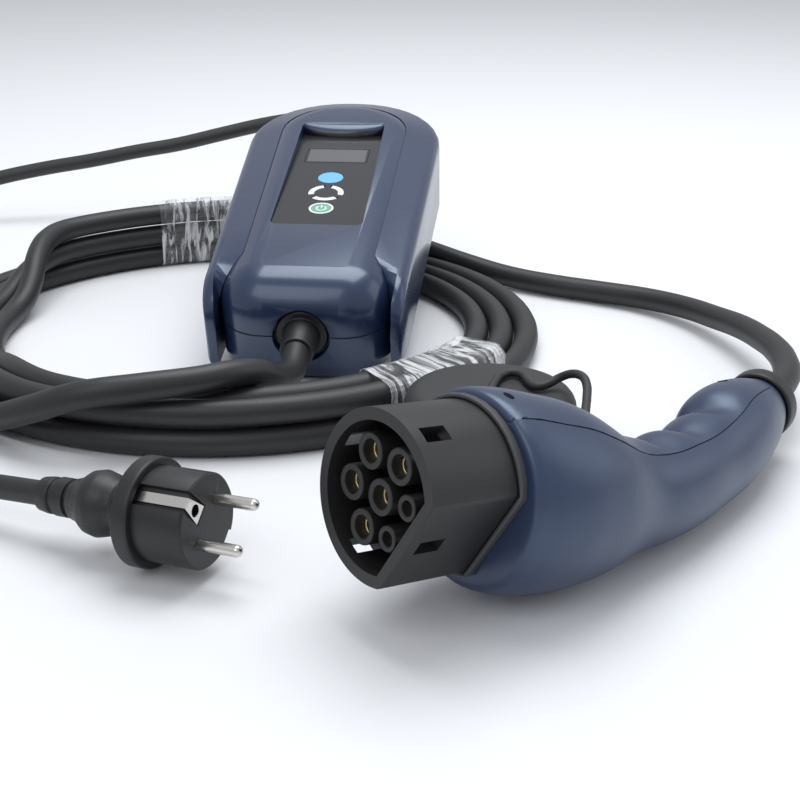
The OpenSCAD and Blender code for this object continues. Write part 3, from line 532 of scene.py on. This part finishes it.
film, film_shader = new_material("crinkled_film")
film_tree = film.node_tree
film_coords = add(film_tree, "ShaderNodeTexCoord")
film_stretch = add(film_tree, "ShaderNodeMapping")
film_stretch.inputs["Scale"].default_value = (1.0, 0.16, 1.0)
film_creases_and_glints = add(film_tree, "ShaderNodeTexNoise")
film_creases_and_glints.inputs["Scale"].default_value = 2.2
film_creases_and_glints.inputs["Detail"].default_value = 5
film_creases_and_glints.inputs["Roughness"].default_value = 0.62
film_creases_and_glints.inputs["Distortion"].default_value = 0.9
painted_glint_alpha = add(film_tree, "ShaderNodeMapRange")
painted_glint_alpha.inputs["From Min"].default_value = 0.46
painted_glint_alpha.inputs["From Max"].default_value = 0.62
painted_glint_alpha.inputs["To Min"].default_value = 0.04
painted_glint_alpha.inputs["To Max"].default_value = 0.62
film_bump = add(film_tree, "ShaderNodeBump")
film_bump.inputs["Distance"].default_value = 0.0012
film_tree.links.new(film_coords.outputs["UV"], film_stretch.inputs["Vector"])
film_tree.links.new(film_stretch.outputs["Vector"], film_creases_and_glints.inputs["Vector"])
film_tree.links.new(film_creases_and_glints.outputs["Fac"], painted_glint_alpha.inputs["Value"])
film_tree.links.new(painted_glint_alpha.outputs["Result"], film_shader.inputs["Alpha"])
film_tree.links.new(film_creases_and_glints.outputs["Fac"], film_bump.inputs["Height"])
film_tree.links.new(film_bump.outputs["Normal"], film_shader.inputs["Normal"])
# Painted highlights: where the noise makes the clear film opaque, its white base colour stands in for the
# glints on its creases.
film_shader.inputs["Base Color"].default_value = (0.9, 0.91, 0.93, 1)
film_shader.inputs["Roughness"].default_value = 0.12


def film_wrap(name, start, end, inner, outer, outer_top, top, node):
    """A creased sleeve of film between two angles of the coil, from radius inner to outer (outer_top above)."""
    bm = bmesh.new()
    middle = (inner + outer) / 2
    bmesh.ops.create_grid(bm, x_segments=1, y_segments=1, size=0.5)
    for vert in bm.verts:
        reach = outer if vert.co.y < 0 else outer_top
        vert.co = Vector((inner if vert.co.x < 0 else reach, 0, (vert.co.y + 0.5) * top + FILM_LIFT))
    bmesh.ops.bevel(bm, geom=bm.verts[:], offset=FILM_CORNER, segments=4, profile=0.5, affect="VERTICES",
                    material=-1)
    bmesh.ops.delete(bm, geom=bm.faces[:], context="FACES_ONLY")
    bmesh.ops.subdivide_edges(bm, edges=bm.edges[:], cuts=3)
    bmesh.ops.rotate(bm, verts=bm.verts, cent=(0, 0, 0), matrix=Matrix.Rotation(math.radians(start), 3, "Z"))
    bmesh.ops.spin(bm, geom=bm.edges[:], cent=(0, 0, 0), axis=(0, 0, 1), angle=math.radians(end - start),
                   steps=FILM_STEPS, use_merge=False)
    uv = bm.loops.layers.uv.new("film")
    for face in bm.faces:
        for loop in face.loops:
            x, y, z = loop.vert.co
            loop[uv].uv = math.atan2(y, x) % math.tau * middle / 10, (z + math.hypot(x, y) - inner) / 10
    for vert in bm.verts:
        radius = math.hypot(vert.co.x, vert.co.y)
        fold = noise.noise(vert.co * FOLD_COARSE) + FINE_SHARE * noise.noise(vert.co * FOLD_FINE)
        push = FOLD_PUSH * fold * (1 if radius > middle else -1)
        vert.co.x += vert.co.x / radius * push
        vert.co.y += vert.co.y / radius * push
        vert.co.z += FOLD_RISE * fold if vert.co.z > top / 2 else 0
    bmesh.ops.translate(bm, verts=bm.verts, vec=(COIL_X, COIL_Y, 0))
    for vert in bm.verts:
        vert.co = at(*vert.co)
    bmesh.ops.recalc_face_normals(bm, faces=bm.faces)
    wrap = object_from(bm, name, film)
    wrap.modifiers.new("thickness", "SOLIDIFY").thickness = FILM_THICKNESS
    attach(wrap, "root")
    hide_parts(node)
    return wrap


far_wrap = film_wrap("film_wrap_far", 97, 115, 157, 186.5, 174, 43.2, "coil_tie_left")
front_wrap = film_wrap("film_wrap_front", 301, 328, 141.5, 173, 173, 28, "coil_tie_right")
print("film wraps:", len(far_wrap.data.polygons) + len(front_wrap.data.polygons), "faces")

# %% [markdown]
# ## Small things that the eye looks for
# A panel without marks looks like a blank, and a handle without screw holes like a toy. Some of these pieces
# are too small for the solids. Others, such as the roll behind the display, the finger grip and the plug's
# flange, were read from the photograph after the solids were finished. Each piece is built in millimetres in
# the own frame of the box, the connector or the plug, and is then carried to its place by one matrix.

# %% Places and a ring maker
SHARP_ANGLE = math.radians(40)
CORNER_ANGLE = 1
ALONG_Y = Matrix.Rotation(math.radians(-90), 4, "X")


def place(x, y, z, *turns):
    """The matrix of a piece of the layout: its point and its turns (degrees, axis), the first applied last."""
    matrix = Matrix.Translation(at(x, y, z))
    for degrees, axis in turns:
        matrix = matrix @ Matrix.Rotation(math.radians(degrees), 4, axis)
    return matrix @ Matrix.Scale(MM, 4)


BOX = place(-51, 668, -2.1, (-5, "Z"), (11.5, "X"))
CONNECTOR = place(-9, 418, 53.6, (-51.9, "Z"), (-9.5, "X"), (-61, "Y"))
PLUG = place(-73, 458.4, 24, (-115.3, "Z"), (3.3, "X"), (42, "Y"))


def add_ring(bm, inner, outer, height, middle, start=0, sweep=360):
    """A flat ring, or part of one, made by spinning a rectangle."""
    before = set(bm.verts)
    corners = [bm.verts.new((r, 0, z)) for r, z in ((inner, 0), (outer, 0), (outer, height), (inner, height))]
    outline = [bm.edges.new((corners[i - 1], corners[i])) for i in range(4)]
    bmesh.ops.rotate(bm, verts=corners, cent=(0, 0, 0), matrix=Matrix.Rotation(math.radians(start), 3, "Z"))
    bmesh.ops.spin(bm, geom=outline, cent=(0, 0, 0), axis=(0, 0, 1), angle=math.radians(sweep),
                   steps=max(8, sweep // 8), use_merge=sweep == 360)
    made = [v for v in bm.verts if v not in before]
    bmesh.ops.holes_fill(bm, edges=[e for e in bm.edges if e.is_boundary], sides=4)
    bmesh.ops.translate(bm, verts=made, vec=middle)


def small_piece(name, bm, matrix, material, smooth=False):
    """The finished mesh, carried to its place."""
    bmesh.ops.recalc_face_normals(bm, faces=bm.faces)
    bmesh.ops.transform(bm, matrix=matrix, verts=bm.verts)
    for face in bm.faces:
        face.smooth = smooth
    piece = object_from(bm, name, material)
    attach(piece, "root")
    return piece


for title, matrix in (("box", BOX), ("connector", CONNECTOR), ("plug", PLUG)):
    print(title, "at", [round(v, 3) for v in matrix.translation])

# %% Marks on the panel
PANEL_TOP = 60.0
GREEN_Y, LCD_Y = 90, 164.5
MARK_T = 0.15
RIM_IN, RIM_OUT = 5.9, 7.0
ARC_IN, ARC_OUT, ARC_FROM, ARC_SWEEP = 2.3, 3.1, 125, 290
BAR_W, BAR_L, BAR_Y, BAR_LIFT = 0.8, 3.2, 2.4, 0.07
LINE_W, LINE_T, LINE_SINK = 1.2, 0.2, 0.12
FRAME_X, FRAME_Y, FRAME_L, FRAME_H = 18.1, 10.1, 37.4, 18.8


def add_block(bm, middle, size):
    """A rectangular block."""
    bmesh.ops.create_cube(bm, size=1, matrix=Matrix.Translation(middle) @ Matrix.Diagonal((*size, 1)))


marks = bmesh.new()
add_ring(marks, RIM_IN, RIM_OUT, MARK_T, (0, GREEN_Y, PANEL_TOP))
add_ring(marks, ARC_IN, ARC_OUT, MARK_T, (0, GREEN_Y, PANEL_TOP), start=ARC_FROM, sweep=ARC_SWEEP)
add_block(marks, (0, GREEN_Y + BAR_Y, PANEL_TOP + BAR_LIFT), (BAR_W, BAR_L, MARK_T))
panel_marks = small_piece("panel_marks", marks, BOX, white_glow)

frame_lines = bmesh.new()
for side in (1, -1):
    add_block(frame_lines, (0, LCD_Y + side * FRAME_Y, PANEL_TOP - LINE_SINK), (FRAME_L, LINE_W, LINE_T))
for side in (1, -1):
    add_block(frame_lines, (side * FRAME_X, LCD_Y, PANEL_TOP - LINE_SINK), (LINE_W, FRAME_H, LINE_T))
small_piece("display_frame", frame_lines, BOX, panel_film)

# Behind the display the cover rolls down to the film, most in the middle. The roll's foot takes the film's dark
# finish, so the panel reads dark up to the roll.
ROLL_BACK, ROLL_HALF, ROLL_DEPTH, ROLL_BOW = 200.2, 25.4, 8.0, 0.97
ROLL_STEPS, ROLL_TURNS, ROLL_FOOT = 32, 12, 7
BACK_SLACK = 0.8
step_corners = [BOX.inverted() @ v.co for v in bpy.data.objects["upper_shell"].data.vertices]
ROLL_TOP = max(c.z for c in step_corners if abs(c.y - ROLL_BACK) < BACK_SLACK and abs(c.x) < ROLL_HALF)


def roll_spot(x, turn):
    """A point of the roll's quarter round, from its top at turn 0 to the film at turn ROLL_TURNS."""
    reach = ROLL_DEPTH * math.sqrt(1 - (ROLL_BOW * x / ROLL_HALF) ** 2)
    t = math.pi / 2 * turn / ROLL_TURNS
    return Vector((x, ROLL_BACK - reach * math.sin(t), PANEL_TOP + (ROLL_TOP - PANEL_TOP) * math.cos(t)))


for name, first, last, material in (("panel_roll", 0, ROLL_FOOT, navy_gloss),
                                    ("panel_roll_foot", ROLL_FOOT, ROLL_TURNS, panel_film)):
    roll = bmesh.new()
    sections = []
    for i in range(ROLL_STEPS + 1):
        spots = [roll_spot(ROLL_HALF * (2 * i / ROLL_STEPS - 1), turn) for turn in range(first, last + 1)]
        # The upper piece starts at the back already, so it needs one corner there and the foot needs two.
        spots += [Vector((spot.x, ROLL_BACK, spot.z)) for spot in (spots[-1], spots[0])[:1 + (first > 0)]]
        sections.append([roll.verts.new(spot) for spot in spots])
    for section, following in zip(sections, sections[1:]):
        for i in range(len(section)):
            roll.faces.new((section[i - 1], section[i], following[i], following[i - 1]))
    roll.faces.new(sections[0])
    roll.faces.new(sections[-1])
    small_piece(name, roll, BOX, material, smooth=True).data.set_sharp_from_angle(angle=SHARP_ANGLE)
print("panel:", len(panel_marks.data.polygons), "faces of marks, roll up to", round(ROLL_TOP, 1), "mm")

# %% [markdown]
# ## The grip
# The solid's handle has three short grooves. In the photograph the finger crests are further apart and
# rounded, so the copy of the upper half fills the grooves and gets its own valleys. Each corner of the net is
# pressed towards the handle's middle line, which lies level with the parting line, so the rings stay regular.

# %% Seams and finger grip of the handle
SEAM_R, SEAM_FRONT = 0.24, 47
SEAM_SIDES = [math.tau * i / 6 for i in range(6)]
RIM_CORNER = Vector((37.8, 44.5, -2.7))
GROOVE_START, GROOVE_PITCH, GROOVES, GROOVE_DEPTH = 121, 17, 3, 3
VALLEYS, VALLEY_HALF = ((102, 1), (128, 3.6), (154, 5), (183, 5.4)), 13.5
VALLEY_GAIN = 1.8
ROW_ROUNDS, ROW_SPAN = 3, 2
FILL_RISE, FILL_MARGIN = 0.2, 0.3
GRIP_ANGLE = math.radians(55)
# Painted shade: a near-black finish for the seam lines and the screw holes, where shade falls in the parting
# gap and in the holes.
painted_shade = moulded("seam_shadow", (0.004, 0.005, 0.012), 0.7, 0.05, 900, 0.00001, shine=0.1)
grip_upper = bpy.data.objects["grip_upper"]
to_local = CONNECTOR.inverted()


def seam_line(side):
    """The halves meet at +X and -X: each ring's outermost sharp corner there, in the connector's frame."""
    outermost = {}
    for index in {i for e in grip_upper.data.edges if e.use_edge_sharp for i in e.vertices}:
        spot = to_local @ grip_upper.data.vertices[index].co
        row = round(spot.y, 1)
        if spot.y > SEAM_FRONT and side * spot.x > side * outermost.get(row, Vector()).x:
            outermost[row] = spot
    return [Vector((side * RIM_CORNER.x, *RIM_CORNER.yz))] + [outermost[row] for row in sorted(outermost)]


seams = {"seam_right": seam_line(1), "seam_left": seam_line(-1)}
# Each seam is a thin tube of painted shade along the parting line.
for name, line in seams.items():
    seam = bmesh.new()
    rings = [[seam.verts.new(spot + SEAM_R * Vector((math.cos(a), 0, math.sin(a)))) for a in SEAM_SIDES]
             for spot in line]
    for ring, following in zip(rings, rings[1:]):
        for i in range(len(ring)):
            seam.faces.new((ring[i - 1], ring[i], following[i], following[i - 1]))
    bmesh.ops.holes_fill(seam, edges=seam.edges[:], sides=len(SEAM_SIDES))
    small_piece(name, seam, CONNECTOR, painted_shade, smooth=True)


def middle_height(y):
    """Height of the handle's middle line, which lies level with the seam."""
    for p, q in zip(seams["seam_right"], seams["seam_right"][1:]):
        if p.y <= y <= q.y:
            return p.z + (q.z - p.z) * (y - p.y) / (q.y - p.y)
    return seams["seam_right"][-1].z


def finger_press(row, rise):
    """How far the copy goes in at a row, less what fills the solid's groove. Rise is 1 on top, 0 aside."""
    along = (row - GROOVE_START) / GROOVE_PITCH
    filled = GROOVE_DEPTH * abs(math.sin(math.pi * along)) * rise ** 2 if 0 < along < GROOVES else 0
    valley = max(depth * max(0, 1 - abs(row - y) / VALLEY_HALF) ** 2 for y, depth in VALLEYS)
    return valley * min(1, VALLEY_GAIN * rise) - filled


filled_corners = set()
for vert in grip_upper.data.vertices:
    spot = to_local @ vert.co
    row = spot.y
    for _ in range(ROW_ROUNDS):
        lean = (middle_height(row + ROW_SPAN) - middle_height(row - ROW_SPAN)) / (2 * ROW_SPAN)
        row = spot.y + (spot.z - middle_height(row)) * lean
    inwards = Vector((0, row, middle_height(row))) - spot
    if inwards.z < 0:
        rise = -inwards.z / inwards.length
        vert.co = CONNECTOR @ (spot + inwards.normalized() * finger_press(row, rise))
        if rise > FILL_RISE and -FILL_MARGIN < (row - GROOVE_START) / GROOVE_PITCH < GROOVES + FILL_MARGIN:
            filled_corners.add(vert.index)
# The filled grooves leave no crease.
creases = grip_upper.data.attributes["crease_edge"].data
for edge in grip_upper.data.edges:
    if filled_corners.issuperset(edge.vertices):
        creases[edge.index].value = 0
grip_upper.data.set_sharp_from_angle(angle=GRIP_ANGLE)
print("handle: 2 seams,", len(VALLEYS), "valleys between the fingers")


# %% Screw holes of the handle and collar of its nut
HOLE_R, HOLE_DEPTH, HOLE_STRETCH, HOLE_SINK = 1.5, 0.8, 1.7, 0.25
HANDLE_END, TAIL_LEAN = (0, 232, 17.5), 19.8
COLLAR_IN, COLLAR_OUT, COLLAR_FROM, COLLAR_L, COLLAR_ROUND = 14.1, 16.6, 0.4, 8.6, 1.1


def seat_on(carrier, y, angle, height, radius):
    """A matrix on the handle's skin, its Z outwards, near the point at that angle round its middle line."""
    side = math.radians(angle)
    guess = CONNECTOR @ Vector((radius * math.cos(side), y, height + radius * math.sin(side)))
    _, spot, normal, _ = carrier.closest_point_on_mesh(guess)
    axis = (CONNECTOR.to_3x3() @ Vector((0, 1, 0))).normalized()
    across = normal.cross(axis).normalized()
    turn = Matrix((across, normal.cross(across), normal)).transposed().to_4x4()
    return Matrix.Translation(spot) @ turn @ Matrix.Scale(MM, 4)


# Each screw hole is a thin dark disc set into the skin, painted shade in place of a hollow.
for name, y, angle, height, radius in (("screw_hole_front", 49, 22, -4, 38.3),
                                       ("screw_hole_tail", 203, 52, 7.5, 22)):
    hole = bmesh.new()
    bmesh.ops.create_cone(hole, cap_ends=True, segments=24, radius1=HOLE_R, radius2=HOLE_R, depth=HOLE_DEPTH)
    bmesh.ops.scale(hole, verts=hole.verts, vec=(HOLE_STRETCH, 1, 1))
    bmesh.ops.translate(hole, verts=hole.verts, vec=(0, 0, -HOLE_SINK))
    small_piece(name, hole, seat_on(grip_upper, y, angle, height, radius), painted_shade)

tail_turn = Matrix.Translation(HANDLE_END) @ Matrix.Rotation(math.radians(TAIL_LEAN), 4, "X")
collar = bmesh.new()
add_ring(collar, COLLAR_IN, COLLAR_OUT, COLLAR_L, (0, 0, 0))
round_edges = [e for e in collar.edges if e.calc_face_angle(0) > CORNER_ANGLE]
bmesh.ops.bevel(collar, geom=round_edges, offset=COLLAR_ROUND, segments=4, profile=0.5, affect="EDGES")
on_nut = Matrix.Translation((0, COLLAR_FROM, 0)) @ ALONG_Y
small_piece("nut_collar", collar, CONNECTOR @ tail_turn @ on_nut, fitting_black, smooth=True)
print("handle: 2 screw holes, collar of", COLLAR_OUT * 2, "mm on the nut")

# %% Earth springs and flange of the plug
SLOT_FLOOR, SLOT_SLACK, SPRING_NARROW, SPRING_FLAT = 15.9, 0.3, 0.55, 0.5
FLANGE_IN, FLANGE_OUT, FLANGE_FROM, FLANGE_L, FLANGE_ROUND = 18.95, 22.05, -26, 3.6, 1.0
FLANGE_MIDDLE = (FLANGE_IN + FLANGE_OUT) / 2
# The springs lie narrow on the floors of their slots, and the plate over the face tapers up to them.
for vert in bpy.data.objects["earth_springs"].data.vertices:
    spot = PLUG.inverted() @ vert.co
    if abs(spot.z) > SLOT_FLOOR - SLOT_SLACK:
        spot.x *= SPRING_NARROW
        spot.z = math.copysign(SLOT_FLOOR + (abs(spot.z) - SLOT_FLOOR) * SPRING_FLAT, spot.z)
        vert.co = PLUG @ spot
# A ring on the flange's front makes it as thick as in the photograph. Only its outer front edge is rounded.
flange = bmesh.new()
add_ring(flange, FLANGE_IN, FLANGE_OUT, FLANGE_L, (0, 0, 0))
rim_edges = [e for e in flange.edges if e.calc_face_angle(0) > CORNER_ANGLE
             and all(v.co.z > FLANGE_L / 2 and v.co.xy.length > FLANGE_MIDDLE for v in e.verts)]
bmesh.ops.bevel(flange, geom=rim_edges, offset=FLANGE_ROUND, segments=4, profile=0.5, affect="EDGES")
on_flange = Matrix.Translation((0, FLANGE_FROM, 0)) @ ALONG_Y
plug_flange = small_piece("plug_flange", flange, PLUG @ on_flange, fitting_black, smooth=True)
plug_flange.data.set_sharp_from_angle(angle=SHARP_ANGLE)
print("plug: flange ring of", FLANGE_L, "mm")

# %% [markdown]
# ## The plug's pieces
# The plug's body, pins and earth springs and its flange ring are gathered in one list.

plug_pieces = [p for p in connector_pieces if p.name in ("mains_plug", "mains_pins", "earth_springs")]
plug_pieces.append(plug_flange)
